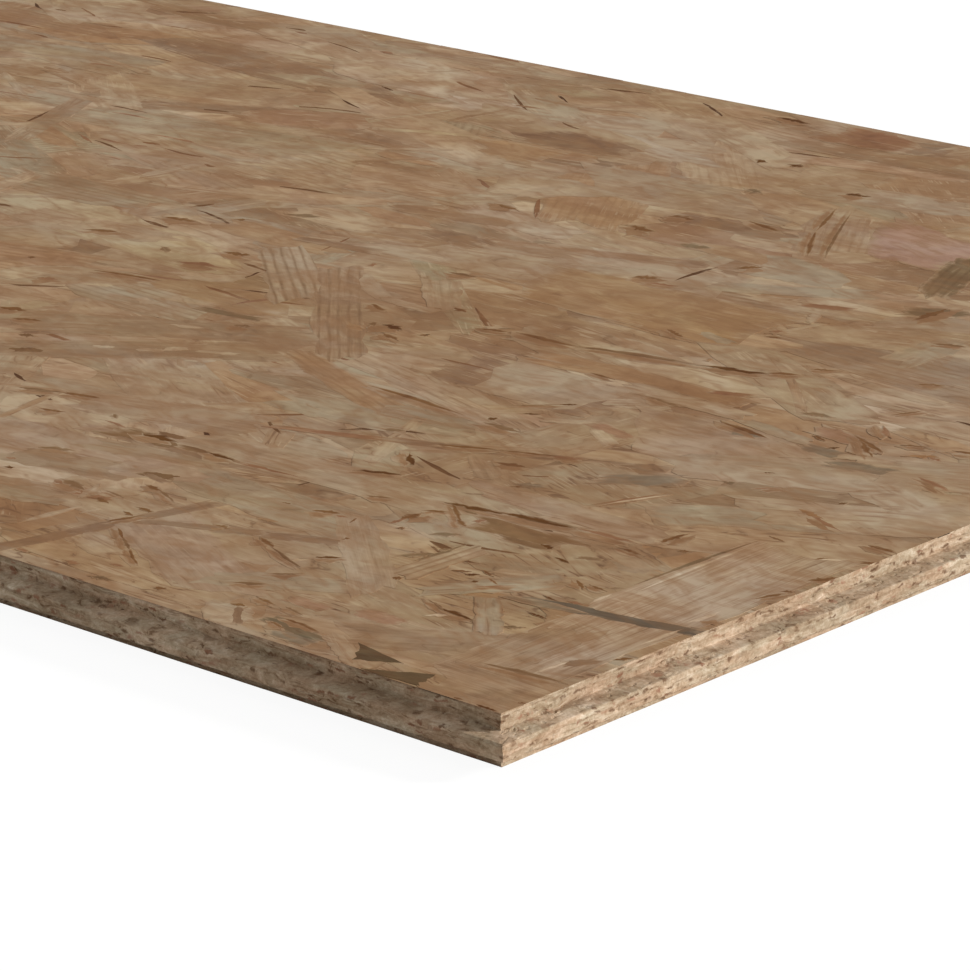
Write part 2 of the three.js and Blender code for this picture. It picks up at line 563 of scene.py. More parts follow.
def bodyShell():
    # The ring of level k is a rectangle; each side's points are its steps, moved out by that side's offset.
    tongue, groove = ringProfile()
    sides = [   # start corner, direction, outward normal, profile, finest end; in order round the board
        ((faceMin[0], faceMin[1]), (1, 0), (0, -1), tongue, "end"),
        ((faceMax[0], faceMin[1]), (0, 1), (1, 0), tongue, "start"),
        ((faceMax[0], faceMax[1]), (-1, 0), (0, 1), groove, ""),
        ((faceMin[0], faceMax[1]), (0, -1), (-1, 0), groove, ""),
    ]
    parts = []
    for number, (start, along, out, profile, fineAt) in enumerate(sides):
        along, out = np.array(along), np.array(out)
        length = float(np.dot(np.abs(along), faceMax - faceMin))
        before, after = sides[number - 1][3][:, :1], sides[(number + 1) % 4][3][:, :1]
        steps = sideSteps(length, fineAt)[None, :-1]
        # near its ends a side is drawn out, or in, to its neighbours' offsets
        pull = np.clip(1 - steps / body["cornerReach"], 0, 1)
        push = np.clip(1 - (length - steps) / body["cornerReach"], 0, 1)
        s = steps - before * pull + after * push
        height = np.repeat(profile[:, 1:], steps.shape[1], 1)
        height[:, 0] = (profile[:, 1] + sides[number - 1][3][:, 1]) / 2
        place = np.array(start) + s[..., None] * along + profile[:, :1, None] * out

        # relief: a slow ripple, and small pits where strands have torn out; always into the wood
        around = (place * np.abs(along)).sum(2)
        rise = profile[:, :1] + height + body["sideSeed"] * number
        wide, tall = body["rippleSize"]
        ripple = layeredNoise(around / wide, rise / tall, body["rippleSeed"], 3)
        wide, tall = body["pitSize"]
        pits = layeredNoise(around / wide, rise / tall, body["pitSeed"], 2)
        pits = np.clip((pits - body["pitLimit"]) / body["pitSlope"], 0, 1)
        depth = body["leastDepth"] + body["ripple"] * ripple + body["pitDepth"] * pits
        slope = np.gradient(profile, axis=0)
        slope /= np.linalg.norm(slope, axis=1, keepdims=True) + 1e-9
        depth[0] = body["undersideDepth"]
        place = place - (depth * slope[:, 1:])[..., None] * out
        height = height + depth * slope[:, :1]
        parts.append(np.concatenate([place, height[..., None]], 2))
    stack = np.concatenate(parts, 1)
    levels, count = stack.shape[:2]
    index = np.arange(levels * count).reshape(levels, count)
    onward = np.roll(index, -1, 1)
    quads = np.stack([index[:-1], onward[:-1], onward[1:], index[1:]], -1).reshape(-1, 4)
    mesh, _ = arrayMesh("pressed_body", stack.reshape(-1, 3), [quads, index[-1:], index[:1, ::-1]])
    return panelPiece("pressed_body", mesh, milledWood)


pressedBody = bodyShell()
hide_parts(board["node"])

# Strands on both faces. Palette as it looks under plain light, with the share of strands in each colour.
strands = {
    "palette": [
        ((156, 128, 97), 0.30),
        ((163, 136, 105), 0.22),
        ((154, 131, 102), 0.15),
        ((151, 118, 84), 0.12),
        ((139, 109, 79), 0.08),
        ((171, 147, 117), 0.06),
    ],
    "cracks": [(84, 52, 26), (102, 68, 38), (120, 80, 48), (134, 94, 64)],
    "toneSpread": 0.06,
    "hueSpread": 0.012,
    "pointSpread": 0.04,    # tone at each point of a strand
    "tiltSpread": 0.07,     # and from one of its sides to the other
    "steepShare": 0.2,      # lie at any angle; the others keep close to the board's length
    "widthSkew": 1.6,       # the higher, the more of them are narrow
    "ringedShare": 0.12,
    "ringDepth": (0.1, 0.28),
    "plainDepth": (0, 0.06),
    "thickness": 0.3,
    "skirtFlare": 0.05,     # how much wider a strand is at its foot
    "tearShare": 0.16,      # of its width, how ragged its ends are, up to mostTear
    "mostTear": 4.0,
    "mostWaver": 0.9,
    "edgeDrop": 0.006,      # how far a strand's outline is pressed down
    "dropPlay": (0.4, 1.3),
    "sideFeather": 4.0,
    "endFeather": 12.0,
    "endBand": 0.2,         # how much of its length fades at most, at each end
    "widthReach": 0.62,     # a strand's reach for the heights: this share of its width, and some room
    "sideRoom": 2,
    "endRoom": 4,
    "heights": 28,          # a layer's strands lie at this many different heights
    "lots": 24,             # neighbouring strands are sawn off in different planes
    "sawPlay": 0.2,
    "groupShift": 0.3,      # of a lot's step, between the groups of one piece
    "leastInside": 0.5,     # a strand that reaches less than this into the face is left out
    "leastSink": 0.01,      # how far inside the face the outermost cut lies
    "margin": 40,
    "nearReach": 1000,      # of the finer strands, from the tongued corner
    "overlap": 40,
}


def strandField(count, lengths, widths, turn, seed, zone=None, steepShare=strands["steepShare"], even=False):
    # strands scattered over a face: place, angle, length, width, colour and shape of each, as arrays;
    # an even field has one in the middle half of each cell of a grid, so that no gap stays open
    draw = np.random.default_rng(seed)
    lowest, highest = zone or (faceMin - strands["margin"], faceMax + strands["margin"])
    angle = np.clip(draw.normal(0, 1, count), -2.5, 2.5) * np.radians(turn)
    angle = np.where(draw.random(count) < steepShare, np.radians(draw.uniform(-90, 90, count)), angle)
    colours = np.array([linear(*c) for c, _ in strands["palette"]])
    shares = np.array([s for _, s in strands["palette"]])
    pick = draw.choice(len(colours), count, p=shares / shares.sum())
    tone = colours[pick] * draw.normal(1, strands["toneSpread"], (count, 1))
    ringed = draw.random(count) < strands["ringedShare"]
    share = draw.random((count, 2))
    if even:
        across = int(math.sqrt(3 * count * (highest[1] - lowest[1]) / (highest[0] - lowest[0])))
        along = math.ceil(count / across)
        cell = np.arange(count)
        share = (np.stack([cell % along, cell // along], 1) + 0.25 + 0.5 * share) / (along, across)
    return {
        "place": lowest + share * (highest - lowest),
        "angle": angle,
        "length": draw.uniform(*lengths, count),
        "width": widths[0] + (widths[1] - widths[0]) * draw.random(count) ** strands["widthSkew"],
        "tone": np.clip(tone * draw.normal(1, strands["hueSpread"], (count, 3)), 0.01, 0.9),
        "ring": np.where(ringed, *(draw.uniform(*strands[k], count) for k in ("ringDepth", "plainDepth"))),
        "taper": draw.uniform(-0.25, 0.25, count),
        "point": draw.uniform(0, 0.35, count),
        "slant": np.clip(draw.normal(0, 0.6, (count, 2)), -1.2, 1.2),
        "bow": draw.normal(0, 0.012, count),
        "blunt": np.full(count, 4),
        "band": 0.27,           # how much of its width fades, at each side
        "soft": np.full(count, 1.0),     # how far it fades there
        "fibrous": np.zeros(count),
        "ragged": np.full(count, 0.04),
    }


def sideCracks(host, count, lengths, widths, colours, seed):
    # short dark cracks lying along the sides of strands already scattered
    draw = np.random.default_rng(seed)
    pick = draw.integers(0, len(host["angle"]), count)
    side = draw.choice([-0.5, 0.5], count) * host["width"][pick]
    run = draw.uniform(-0.46, 0.46, count) * host["length"][pick]
    cosine, sine = np.cos(host["angle"][pick]), np.sin(host["angle"][pick])
    tone = np.array([linear(*c) for c in colours])[draw.integers(0, len(colours), count)]
    return {
        "place": host["place"][pick] + np.stack([run * cosine - side * sine, run * sine + side * cosine], 1),
        "angle": host["angle"][pick] + np.radians(draw.normal(0, 5, count)),
        "length": draw.uniform(*lengths, count),
        "width": draw.uniform(*widths, count),
        "tone": tone * draw.normal(1, strands["toneSpread"], (count, 1)),
        "ring": np.zeros(count),
        "taper": draw.uniform(-0.3, 0.3, count),
        "point": draw.uniform(0.5, 0.9, count),
        "slant": np.clip(draw.normal(0, 0.6, (count, 2)), -1.2, 1.2),
        "bow": draw.normal(0, 0.03, count),
        "blunt": np.full(count, 2),
        "band": 0.35,
        "soft": np.full(count, 0.6),
        "fibrous": np.zeros(count),
        "ragged": np.full(count, 0.14),
    }


def touching(fields):
    # which strands may overlap: two turned boxes are apart if a side direction of either one parts them
    keys = ("place", "angle", "length", "width", "slant")
    place, angle, length, width, slant = (np.concatenate([f[key] for f in fields]) for key in keys)
    halfWidth = width * strands["widthReach"] + strands["sideRoom"]
    halfLength = length / 2 + strands["endRoom"] + np.abs(slant).max(1) * width / 2
    apart = place[None] - place[:, None]
    between = angle[None] - angle[:, None]
    cosine, sine = np.abs(np.cos(between)), np.abs(np.sin(between))
    forward = np.stack([np.cos(angle), np.sin(angle)], 1)
    across = np.stack([-np.sin(angle), np.cos(angle)], 1)
    near = np.ones_like(between, bool)
    for side, own, other, third in (forward, halfLength, cosine, sine), (across, halfWidth, sine, cosine):
        reach = own[:, None] + halfLength * other + halfWidth * third
        near &= np.abs((apart * side[:, None]).sum(2)) < reach
    return near & near.T


def layAtHeights(fields, deepest, highest, seed=0):
    # strands that overlap never lie at one height: each takes, at random, a height its neighbours left free;
    # with no seed each lies above all earlier ones that it touches
    near = touching(fields)
    draw = np.random.default_rng(seed)
    level = np.full(len(near), -1)
    for number in range(len(near)):
        taken = level[np.nonzero(near[number])[0]]
        if seed:
            free = np.setdiff1d(np.arange(strands["heights"]), taken)
            level[number] = draw.choice(free) if len(free) else taken.max() + 1
        else:
            level[number] = taken.max() + 1
    depth = deepest + (highest - deepest) * level / max(level.max(), 1)
    print("heights used:", level.max() + 1, "for", len(level), "strands")
    for field, part in zip(fields, np.split(depth, np.cumsum([len(f["angle"]) for f in fields])[:-1])):
        field["depth"] = part


def slots(half, band, inner):
    # places from -half to half: skirt, outline, a ring one band inside, evenly spaced ones, and back out
    between = (half - band)[:, None] * np.linspace(-1, 1, inner + 1)[None]
    edge = half[:, None]
    return np.concatenate([-edge, -edge, between, edge, edge], 1)


def strandPatches(field, lengthwise, crosswise, seed, underside=False):
    # A strand is z(u, v) on a grid, u along it and v across it. Its long sides follow the grain and waver a
    # little, its ends are torn at a slant, and its outermost ring is turned down into the wood.
    draw = np.random.default_rng(seed)
    count = len(field["angle"])

    def each(key):
        return np.asarray(field[key], float)[:, None, None]

    def jitter(*shape):
        return np.clip(draw.normal(0, 1, (count, *shape)), -2, 2)

    length, width = field["length"], field["width"]
    u = slots(length / 2, np.minimum(strands["endFeather"], length * strands["endBand"]), lengthwise)
    v = slots(width / 2, np.minimum(strands["sideFeather"], width * field["band"]), crosswise)
    rows, columns = u.shape[1], v.shape[1]
    row, column = np.arange(rows)[:, None], np.arange(columns)[None]
    border = np.minimum(np.minimum(row, rows - 1 - row), np.minimum(column, columns - 1 - column))
    outline, skirt = border < 2, border < 1
    along, across = u[:, :, None], v[:, None, :]
    s, t = along / each("length") * 2, across / each("width") * 2

    tear = np.minimum(each("width") * strands["tearShare"], strands["mostTear"]) * jitter(2, columns)
    tear[:, :, 0], tear[:, :, -1] = tear[:, :, 1], tear[:, :, -2]
    slant = np.asarray(field["slant"], float)[:, :, None, None]
    first = slant[:, 0] * across + tear[:, :1]
    last = slant[:, 1] * across + tear[:, 1:]
    x = along + first * ((1 - s) / 2) ** 2 + last * ((1 + s) / 2) ** 2
    waver = jitter(rows, 2)
    waver[:, 0], waver[:, -1] = waver[:, 1], waver[:, -2]
    sides = waver[:, :, :1] * (1 - t) / 2 + waver[:, :, 1:] * (1 + t) / 2
    narrow = each("point") * np.abs(s) ** each("blunt")
    y = across * (1 + each("taper") * s - narrow) + each("bow") * each("length") * (1 - s**2)
    y = y + sides * np.minimum(strands["mostWaver"], each("width") * each("ragged"))
    flare = np.where(skirt, strands["skirtFlare"], 0.0)
    x = x + flare * np.sign(s) * (np.abs(s) > 0.999)
    y = y + flare * np.sign(t) * (np.abs(t) > 0.999)

    drop = strands["edgeDrop"] * draw.uniform(*strands["dropPlay"], (count, rows, columns))
    drop[:, 0], drop[:, -1] = drop[:, 1], drop[:, -2]
    drop[:, :, 0], drop[:, :, -1] = drop[:, :, 1], drop[:, :, -2]
    z = -each("depth") - np.where(outline, drop, 0.0) - np.where(skirt, strands["thickness"], 0.0)
    cosine, sine = np.cos(each("angle")), np.sin(each("angle"))
    points = np.empty((count, rows, columns, 3))
    points[..., 0] = field["place"][:, 0][:, None, None] + x * cosine - y * sine
    points[..., 1] = field["place"][:, 1][:, None, None] + x * sine + y * cosine
    points[..., 2] = -z if underside else z + thickness

    index = np.arange(rows * columns).reshape(rows, columns)
    cells = np.stack([index[:-1, :-1], index[1:, :-1], index[1:, 1:], index[:-1, 1:]], -1).reshape(-1, 4)
    rim = np.concatenate([index[:, 0], index[-1, 1:], index[-2::-1, -1], index[0, -2:0:-1]])
    base = rim[::-1][None]
    if underside:
        cells, base = cells[:, ::-1], base[:, ::-1]
    shift = draw.uniform(0, 5, (count, 1, 1))
    grain = np.stack([x / 1000 + shift, y / 1000 + shift * 1.7], -1)
    tilt = strands["tiltSpread"]
    shade = 1 + strands["pointSpread"] * jitter(rows, columns) + draw.uniform(-tilt, tilt, (count, 1, 1)) * t
    tone = field["tone"][:, None, None, :] * shade[..., None]
    solid = np.ones_like(tone[..., :1]) - each("fibrous")[..., None]
    return {
        "faces": [cells, base],
        "points": points.reshape(count, -1, 3),
        "grain": grain.reshape(count, -1, 2),
        "tone": np.concatenate([tone, solid], -1).reshape(count, -1, 4),
        "feather": np.where(outline, each("soft"), np.minimum(each("soft"), 0)).reshape(count, -1),
        "ringDepth": np.broadcast_to(each("ring"), (count, rows, columns)).reshape(count, -1),
    }


def strandMesh(made, chosen):
    # the chosen strands as one mesh, with the colour and grain that their material reads
    count, size = int(chosen.sum()), made["points"].shape[1]
    start = (np.arange(count) * size)[:, None, None]
    faces = [(start + f[None]).reshape(-1, f.shape[1]) for f in made["faces"]]
    mesh, loops = arrayMesh("strands", made["points"][chosen].reshape(-1, 3), faces)
    grain = made["grain"][chosen].reshape(-1, 2)[loops]
    mesh.uv_layers.new(name="grain").data.foreach_set("uv", grain.astype(np.float32).ravel())
    tone = mesh.attributes.new("tone", "FLOAT_COLOR", "POINT")
    tone.data.foreach_set("color", made["tone"][chosen].astype(np.float32).ravel())
    for key in ("feather", "ringDepth"):
        layer = mesh.attributes.new(key, "FLOAT", "POINT")
        layer.data.foreach_set("value", made[key][chosen].astype(np.float32).ravel())
    return mesh


def sawOff(mesh, inset):
    # cuts the strands off a hair inside the four sides of the face, and closes the cuts in the milled look
    work = bmesh.new()
    work.from_mesh(mesh)
    sides = ((0, -1, faceMin[0]), (0, 1, faceMax[0]), (1, -1, faceMin[1]), (1, 1, faceMax[1]))
    for axis, sign, limit in sides:
        plane = {"plane_no": [0, 0, 0], "plane_co": [0, 0, 0]}
        plane["plane_no"][axis] = sign
        plane["plane_co"][axis] = (limit - sign * inset) * mm
        everything = work.verts[:] + work.edges[:] + work.faces[:]
        cut = bmesh.ops.bisect_plane(work, geom=everything, clear_outer=True, **plane)
        rim = [e for e in cut["geom_cut"] if isinstance(e, bmesh.types.BMEdge) and e.is_boundary]
        for face in bmesh.ops.edgeloop_fill(work, edges=rim)["faces"]:
            face.material_index = 1
    work.to_mesh(mesh)
    work.free()


def strandPiece(name, groups, seed, underside=False):
    # groups: list of (field, cells along, cells across). Strands that cross the outline are sawn off in
    # lots, neighbours in different ones, so that sawn ends which overlap never share a plane.
    whole = bmesh.new()
    for number, (field, lengthwise, crosswise) in enumerate(groups):
        made = strandPatches(field, lengthwise, crosswise, seed + number, underside)
        flat = made["points"][..., :2]
        reach = np.minimum(flat.min(1) - faceMin, faceMax - flat.max(1)).min(1)
        outside = np.maximum(faceMin - flat.max(1), flat.min(1) - faceMax).max(1) > -strands["leastInside"]
        crossing = (reach < strands["sawPlay"]) & ~outside
        middle = flat.mean(1)
        turn = np.arctan2(middle[:, 1] / faceMax[1], middle[:, 0] / faceMax[0])
        order = np.argsort(np.argsort(np.where(crossing, turn, np.inf)))
        lot = np.where(crossing, order % strands["lots"], -1)
        for chosen in range(-1, strands["lots"]):
            take = (lot == chosen) & ~outside
            if not take.any():
                continue
            mesh = strandMesh(made, take)
            if chosen >= 0:
                deeper = (chosen + strands["groupShift"] * number) / strands["lots"]
                sawOff(mesh, strands["leastSink"] + strands["sawPlay"] * deeper)
            whole.from_mesh(mesh)
            bpy.data.meshes.remove(mesh)
    mesh = bpy.data.meshes.new(name)
    whole.to_mesh(mesh)
    whole.free()
    return panelPiece(name, mesh, strandWood, milledWood)


# On each face an even layer of broad strands, and a mixed one over it; finer ones near the tongued corner
broad = {"lengths": (105, 165), "widths": (40, 64), "turn": 8, "steepShare": 0, "even": True}
mixed = {"lengths": (60, 170), "widths": (14, 52), "turn": 15, "steepShare": 0.3}
nearZone = (corner - (strands["nearReach"], strands["margin"]), faceMax + strands["margin"])
farEnd = corner[0] - strands["nearReach"] + strands["overlap"]
farZone = (faceMin - strands["margin"], np.array([farEnd, faceMax[1] + strands["margin"]]))
nearLower = strandField(420, seed=10, zone=nearZone, **broad)
nearUpper = strandField(500, seed=11, zone=nearZone, **mixed)
farLower = strandField(560, seed=15, zone=farZone, **broad)
farUpper = strandField(680, seed=13, zone=farZone, **mixed)
longSlivers = strandField(110, (16, 60), (3, 12), 22, 21, nearZone, 0.3)
longSlivers["band"] = 0.45
longSlivers["soft"] *= 1.2
smallCracks = sideCracks(nearUpper, 220, (7, 34), (1.2, 3.0), strands["cracks"], 23)
underLower = strandField(896, seed=30, **broad)
underUpper = strandField(1000, (60, 150), (10, 44), 16, 31)
layAtHeights([nearLower, farLower], 0.19, 0.14, 1)
layAtHeights([nearUpper, farUpper], 0.12, 0.07, 2)
layAtHeights([longSlivers, smallCracks], 0.066, 0.056, 3)
layAtHeights([underLower], 0.09, 0.06, 4)
layAtHeights([underUpper], 0.05, 0.01, 5)
strandPiece("top_strands", [(nearLower, 3, 1), (nearUpper, 5, 3)], 12)
strandPiece("top_strands_far", [(farLower, 2, 1), (farUpper, 3, 1)], 16)
strandPiece("top_slivers", [(longSlivers, 2, 1), (smallCracks, 2, 1)], 22)
strandPiece("underside_strands", [(underLower, 2, 1), (underUpper, 2, 1)], 32, True)

# Strands placed one by one, in mm from the tongued corner: two ends of the middle line, width and tone; the
# ringed ones also have a ring depth. Later ones lie over earlier ones: flakes, ringed ones, stains that are
# partly painted shadow, wedges and, over all, the marks.
tones = {
    "pale": (166, 142, 113),
    "sage": (151, 129, 101),
    "mist": (157, 140, 115),
    "beige": (158, 133, 104),
    "rose": (155, 127, 99),
    "tan": (150, 121, 91),
    "golden": (151, 116, 80),
    "rust": (132, 90, 58),
    "brown": (114, 82, 50),
    "olive": (116, 91, 61),
    "grey": (124, 104, 80),
    "umber": (111, 73, 36),
    "dark": (89, 52, 10),
    "bark": (130, 99, 70),
    "husk": (143, 115, 85),
    "cream": (166, 140, 112),
    "lit": (192, 168, 139),
    # tone of a painted shadow of a flake
    "moss": (104, 87, 62),
    "clay": (146, 109, 80),
    "amber": (150, 108, 64),
    "honey": (152, 119, 82),
    "straw": (160, 132, 102),
    "tea": (120, 87, 52),
    "pink": (158, 124, 102),
    "soot": (99, 85, 68),
    "pitch": (90, 70, 45),
    "stain": (137, 101, 67),
}
placed = {
    # power of the narrowing towards the ends, how far it goes, how far the sides fade, and the seed
    "kinds": {
        "flakes": (6, (0, 0.12), 0.8, 77),
        "ringed": (6, (0, 0.1), 0.6, 78),
        "marks": (1.3, (0.65, 0.95), 1.12, 79),
        "wedges": (4, (0, 0.05), -0.4, 80),
    },
    "softTones": ("mist", "pale", "grey", "bark", "husk", "brown", "tea", "rust", "olive", "golden", "clay",
                  "honey", "pink"),
    "softReach": 1.15,
    "fibrousTones": {"cream": 1.0, "straw": 1.0, "tan": 0.6, "beige": 0.4},
    "fibrousElse": 0.22,
    "wedgeTaper": 0.9,
    "markWidening": (1.5, 1.1),     # of long and of short marks
    "markExtra": 0.25,
    "markBand": 0.42,
    "veryLong": 30,
    "markRagged": (0.03, 0.1),      # of very long marks and of the others
    "stainFrom": 9.0,               # marks longer than this are long, and the dark ones have a stain
    "stainWiden": 1.6,
    # a stain is shifted to one side of its mark as a painted shadow, by this share of its width
    "stainReach": 2.5,
    "shadowAside": 1 / 3,            # of its width
    "stainBand": 0.5,
    "stainSoft": 1.6,
    "flakes": [
        # far
        (-500, 565, -440, 565, 28, "bark"), (-500, 535, -460, 535, 28, "golden"),
        (-450, 492, -400, 492, 36, "pale"), (-395, 440, -360, 440, 18, "pale"),
        (-352, 495, -285, 495, 16, "bark"), (-415, 409, -378, 403, 17, "bark"),
        (-330, 378, -200, 379, 52, "honey"), (-265, 525, -205, 512, 46, "pink"),
        (-390, 658, -345, 657, 30, "rust"), (-270, 458, -230, 457, 30, "sage"),
        (-299, 548, -259, 478, 7, "pale"), (-211, 521, -198, 492, 9, "olive"),
        (-182, 466, -165, 477, 9, "bark"), (-182, 440, -158, 450, 13, "olive"),
        (-140, 380, -140, 420, 18, "sage"), (-302, 510, -280, 517, 7, "pale"),
        (-288, 497, -272, 501, 14, "sage"), (-265, 418, -205, 450, 14, "sage"),
        (-220, 420, -198, 427, 6, "rust"), (-450, 362, -405, 368, 8, "bark"),
        (-388, 338, -355, 318, 9, "pale"), (-355, 318, -325, 316, 7, "pale"),
        (-447, 287, -420, 300, 12, "pale"), (-225, 364, -205, 358, 8, "sage"),
        (-202, 379, -195, 404, 3.5, "pale"),
        # middle
        (-430, 162, -326, 240, 24, "husk"), (-445, 200, -335, 262, 28, "husk"),
        (-290, 190, -232, 199, 24, "sage"), (-250, 268, -195, 267, 40, "beige"),
        (-255, 289, -190, 298, 8, "golden"), (-255, 299, -150, 299, 12, "golden"),
        (-200, 290, -137, 287, 11, "pale"), (-137, 284, -100, 278, 8, "sage"),
        (-170, 303, -155, 309, 5, "rust"), (-192, 268, -182, 275, 8, "pale"),
        (-172, 240, -155, 229, 6, "pale"), (-195, 236, -178, 245, 6, "pale"),
        (-178, 245, -154, 239, 7, "clay"), (-380, 200, -368, 208, 6, "pale"),
        (-372, 208, -363, 216, 6, "pale"), (-360, 215, -343, 222, 4, "pale"),
        (-396, 193, -387, 198, 4, "pale"), (-355, 204, -343, 211, 6, "pale"),
        (-320, 214, -303, 222, 10, "pale"), (-418, 168, -405, 178, 8, "brown"),
        (-433, 188, -421, 196, 4, "bark"), (-268, 164, -223, 180, 5, "rust"),
        (-223, 181, -150, 208, 7, "bark"), (-405, 259, -370, 263, 6, "olive"),
        (-450, 178, -436, 189, 7, "pale"),
        # left of the corner
        (-350, 90, -262, 97, 38, "rose"), (-322, 79, -262, 93, 22, "husk"), (-330, 40, -268, 56, 24, "tan"),
        (-345, 142, -268, 160, 26, "tan"), (-320, 118, -305, 120, 8, "rose"),
        (-308, 106, -244, 116, 15, "husk"), (-312, 121, -212, 129, 13, "bark"),
        (-309, 123, -268, 127, 12.5, "brown"), (-292, 131, -277, 132, 5, "brown"),
        (-277, 126, -243, 126, 6, "brown"), (-243, 126, -206, 130, 4, "rust"),
        (-148, 137, -280, 137, 23, "beige"), (-250, 104, -155, 97, 27, "sage"),
        (-278, 98, -232, 103, 17, "rose"), (-262, 95, -246, 98, 7, "brown"),
        (-305, 42, -262, 55, 16, "sage"), (-241, -4, -216, 88, 8.5, "bark"),
        (-224, 60, -150, 25, 30, "rose"), (-228, 33, -200, 25, 14, "pale"), (-230, 53, -176, 76, 7, "bark"),
        (-180, 74, -150, 86, 7, "bark"), (-261, 95, -247, 92, 4, "bark"), (-278, 66, -258, 65, 8, "rust"),
        (-257, 64, -248, 66, 5, "rust"), (-170, 25, -118, 55, 16, "sage"), (-160, 161, -72, 161, 16, "rose"),
        (-160, 250, -100, 250, 44, "rose"), (-172, 110, -108, 55, 16, "beige"),
        (-133, 132, -90, 134, 15, "tea"), (-116, 125.5, -91, 127, 4.5, "brown"),
        (-80, 127, -72, 130, 3, "olive"), (-88, 20, -42, 44, 22, "husk"), (-97, 70, -68, 104, 15, "mist"),
        (-76, 77, -52, 51, 9.5, "mist"), (-98, 39, -80, 39, 9, "clay"), (-125, 33, -108, 33, 7, "clay"),
        # the grey flake from (-108, 7) to (-88, 7) and the flake from (-117, 15) to (-89, 11) are painted
        # shadows of flakes, laid as strands
        (-140, 8, -122, 9, 16, "pale"), (-133, 17, -121, 4, 4, "bark"), (-108, 7, -88, 7, 8, "grey"),
        (-117, 15, -89, 11, 7, "moss"), (-89, 17, -62, 1, 8, "pale"),
        # right of it
        (-125, 228, -40, 262, 30, "beige"), (-70, 266, 4, 300, 34, "beige"),
        (-92, 178, -30, 214, 22, "mist"), (-72, 202, 6, 240, 30, "pale"), (-44, 238, 8, 266, 26, "pale"),
        (-132, 196, -106, 215, 13, "grey"), (-110, 293, -77, 289, 11, "clay"),
        (-100, 274, -80, 272, 9, "grey"), (-80, 264, -55, 270, 10, "grey"), (-84, 272, -62, 280, 6, "pale"),
        (-132, 268, -118, 272, 5, "grey"), (-25, 22, -26, 178, 42, "cream"), (-34, 21, -33, 80, 26, "tan"),
        (-39, 15, 8, 15, 32, "tan"), (-15, 45, -8, 56, 6, "bark"), (-66, 83.5, 3, 96.5, 7.2, "soot"),
    ],
    # the first end is a point; the last number is how far the other end is slanted
    "wedges": [
        (-55, 12.5, -73, 11, 7.0, "pitch", -1.3), (-60, 0.5, -38, 6.5, 6.2, "pitch", 0.4),
    ],
    "ringed": [
        (-290, 535, -262, 492, 30, "rose", 0.15), (-445, 348, -380, 294, 24, "beige", 0.5),
        (-356, 352, -326, 322, 16, "beige", 0.15), (-402, 341, -307, 244, 20, "tan", 0.35),
        (-186, 465, -205, 515, 18, "olive", 0.25), (-330, 240, -248, 208, 15, "golden", 0.3),
        (-307, 250, -208, 223, 15, "straw", 0.2), (-178, 186, -162, 174, 14, "beige", 0.3),
        (-113, 73, -111, 111, 12, "pale", 0.4),
    ],
    "marks": {
        "umber": [
            (-352, 492, -338, 495, 5), (-319, 508, -297, 503, 3), (-303, 548, -286, 513, 1.6),
            (-286, 513, -263, 478, 1.6), (-352, 468, -338, 467, 6), (-275, 446, -266, 455, 4),
            (-300, 407, -288, 414, 5), (-424, 460, -408, 457, 4), (-491, 366, -488, 369, 4),
            (-520, 350, -500, 353, 4), (-532, 313, -512, 320, 3), (-457, 325, -444, 329, 4),
            (-478, 271, -445, 277, 2.4), (-170, 430, -170, 452, 4), (-201, 375, -195, 377, 2),
            (-238, 358, -226, 353, 2), (-354, 309, -341, 304, 2.6), (-320, 281, -309, 277, 3),
            (-307, 289, -304, 291, 3), (-323, 326, -316, 324, 4), (-297, 310, -282, 314, 2),
            (-280, 316, -248, 316, 3), (-168, 337, -157, 343, 2.2), (-160, 351, -149, 357, 1.6),
            (-468, 207, -454, 211, 3.5), (-450, 200, -438, 204, 2.5), (-515, 266, -512, 268, 3),
            (-142, 277, -116, 272, 2.6), (-95, 296, -73, 286, 2), (-105, 286, -98, 283, 2),
            (-74, 298, -64, 302, 1.6), (-54, 304, -42, 307, 2.5), (-99, 325, -93, 336, 1.2),
            (-116, 362, -107, 367, 2), (-275, 226, -221, 221, 2.4), (-205, 187, -182, 198, 1.8),
            (-182, 198, -160, 206, 1.4), (-172, 185, -160, 190, 3), (-221, 293, -208, 292, 1.2),
            (-357, 143, -342, 147, 2.2), (-348, 124, -339, 126, 2), (-250, 85, -241, 84, 2.2),
            (-234, 66, -226, 66, 3), (-235, 60, -228, 58, 1.8), (-200, 70, -191, 71, 2.4),
            (-223, 46, -213, 39, 1.0), (-203, 33, -188, 23, 1.0), (-177, 71, -167, 66, 2),
            (-155, 88, -153, 91, 3), (-185, 104, -175, 107, 2.2), (-200, 103, -195, 104, 1.3),
            (-253, 64, -246, 62, 2.5), (-231, 48, -226, 62, 1.8), (-167, 11, -164, 12, 3),
            (-136, 17, -131, 18, 3), (-135, 27, -125, 25, 1.4), (-113, 18, -95, 16, 1.4),
            (-115, 13, -106, 11, 1.2), (-22, 1, -16, 1, 1.2), (-155, 129, -146, 134, 1.3),
            (-152, 141, -136, 128, 1.3), (-140, 130, -131, 125, 2), (-154, 117, -153.5, 126, 3.6),
            (-149, 109, -146, 111, 2), (-167, 108, -165, 102, 1.3), (-114, 70, -111, 72, 3),
            (-96, 96, -89, 93, 1.3), (-104, 89, -98, 92, 1.4), (-89, 91, -82, 88, 1.2),
            (-65, 109, -57, 103.5, 1.3), (-59, 108, -50, 107, 1.1), (-61, 85, -51, 84.5, 1.1),
            (-77, 143.5, -64, 142, 1.6), (-69.5, 156, -68, 169, 2.4), (-59, 154, -55, 156, 1.6),
            (-8, 133, -3, 146, 1.6), (-88, 292, -73, 279, 2.4), (-150, 169, -146, 171, 1.4),
